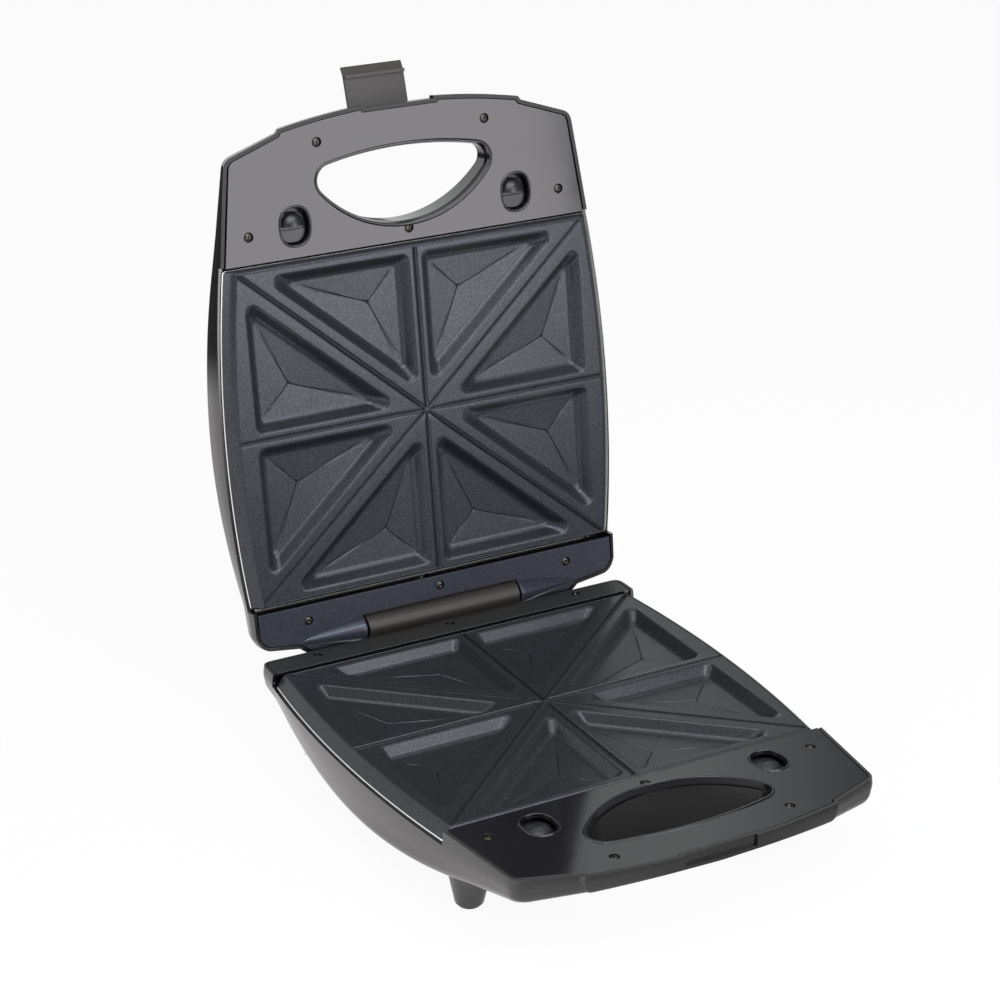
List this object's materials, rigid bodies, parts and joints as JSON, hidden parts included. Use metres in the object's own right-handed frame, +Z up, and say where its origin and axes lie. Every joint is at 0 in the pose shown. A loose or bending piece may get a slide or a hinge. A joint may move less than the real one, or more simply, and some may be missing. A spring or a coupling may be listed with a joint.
{
  "type": "sandwich toaster",
  "caption": "Sandwich toaster standing open: black clam casing, non-stick plates with triangular pockets, handle with a finger hole and a hinged latch.",
  "frame": {"origin": "on the table, under the middle of the open toaster's bounding box", "axes": "+Z up, -Y towards the handle and the user, +X to the user's right"},
  "size_m": [0.3032, 0.465, 0.4393],
  "materials": {
    "gloss_casing": "moulded, high gloss",
    "panel_gloss": "moulded, polished",
    "knuckle_plastic": "moulded, satin",
    "coated_casting": "cast aluminium with speckled non-stick coating",
    "tray_steel": "pressed aluminised sheet",
    "element_steel": "annealed steel sheath",
    "screw_steel": "dark zinc plate",
    "pin_steel": "ground steel",
    "ceramic": "unglazed ceramic",
    "terminal_plastic": "moulded, natural nylon",
    "soft_rubber": "moulded rubber",
    "spring_steel": "bright spring wire",
    "red_lens": "clear moulded",
    "green_lens": "clear moulded"
  },
  "bodies": {
    "base": {"base_shell": "gloss_casing", "base_handle_panel": "panel_gloss", "base_rear_cover": "panel_gloss", "base_plate": "coated_casting", "base_heat_tray": "tray_steel", "base_heater": "element_steel", "base_panel_screws": "screw_steel", "base_rear_screws": "screw_steel", "base_spring_left": "spring_steel", "base_spring_right": "spring_steel", "hinge_knuckle": "knuckle_plastic", "thermostat": "ceramic", "thermal_fuse": "tray_steel", "terminal_block": "terminal_plastic", "cord_inlet_bush": "soft_rubber", "feet": "gloss_casing", "foot_pads": "soft_rubber"},
    "lid": {"lid_shell": "gloss_casing", "lid_handle_panel": "panel_gloss", "lid_hinge_cover": "panel_gloss", "lid_plate": "coated_casting", "lid_heat_tray": "tray_steel", "lid_heater": "element_steel", "lid_panel_screws": "screw_steel", "lid_rear_screws": "screw_steel", "lid_spring_left": "spring_steel", "lid_spring_right": "spring_steel", "hinge_pins": "pin_steel", "latch_pin": "pin_steel", "power_lamp_lens": "red_lens", "ready_lamp_lens": "green_lens"},
    "latch": {"latch": "gloss_casing"},
    "base_left_catch": {"base_catch_left": "gloss_casing"},
    "base_right_catch": {"base_catch_right": "gloss_casing"},
    "lid_left_catch": {"lid_catch_left": "gloss_casing"},
    "lid_right_catch": {"lid_catch_right": "gloss_casing"}
  },
  "joints": [
    {"name": "lid_hinge", "type": "hinge", "parent": "base", "child": "lid", "pos_m": [0, 0.131, 0.0651], "axis": [1, 0, 0], "range_deg": [0, 98.5]},
    {"name": "latch_hinge", "type": "hinge", "parent": "lid", "child": "latch", "pos_m": [0, 0.19976, 0.40628], "axis": [1, 0, 0], "range_deg": [0, 100]},
    {"name": "base_left_catch_slide", "type": "slide", "parent": "base", "child": "base_left_catch", "axis": [0, -1, 0], "range_m": [0, 0.0035], "stiffness_N_per_m": 400, "springref_m": -0.001, "deforming": ["base_spring_left"]},
    {"name": "base_right_catch_slide", "type": "slide", "parent": "base", "child": "base_right_catch", "axis": [0, -1, 0], "range_m": [0, 0.0035], "stiffness_N_per_m": 400, "springref_m": -0.001, "deforming": ["base_spring_right"]},
    {"name": "lid_left_catch_slide", "type": "slide", "parent": "lid", "child": "lid_left_catch", "axis": [0, 0.1478, 0.989], "range_m": [0, 0.0035], "stiffness_N_per_m": 400, "springref_m": -0.001, "deforming": ["lid_spring_left"]},
    {"name": "lid_right_catch_slide", "type": "slide", "parent": "lid", "child": "lid_right_catch", "axis": [0, 0.1478, 0.989], "range_m": [0, 0.0035], "stiffness_N_per_m": 400, "springref_m": -0.001, "deforming": ["lid_spring_right"]}
  ]
}
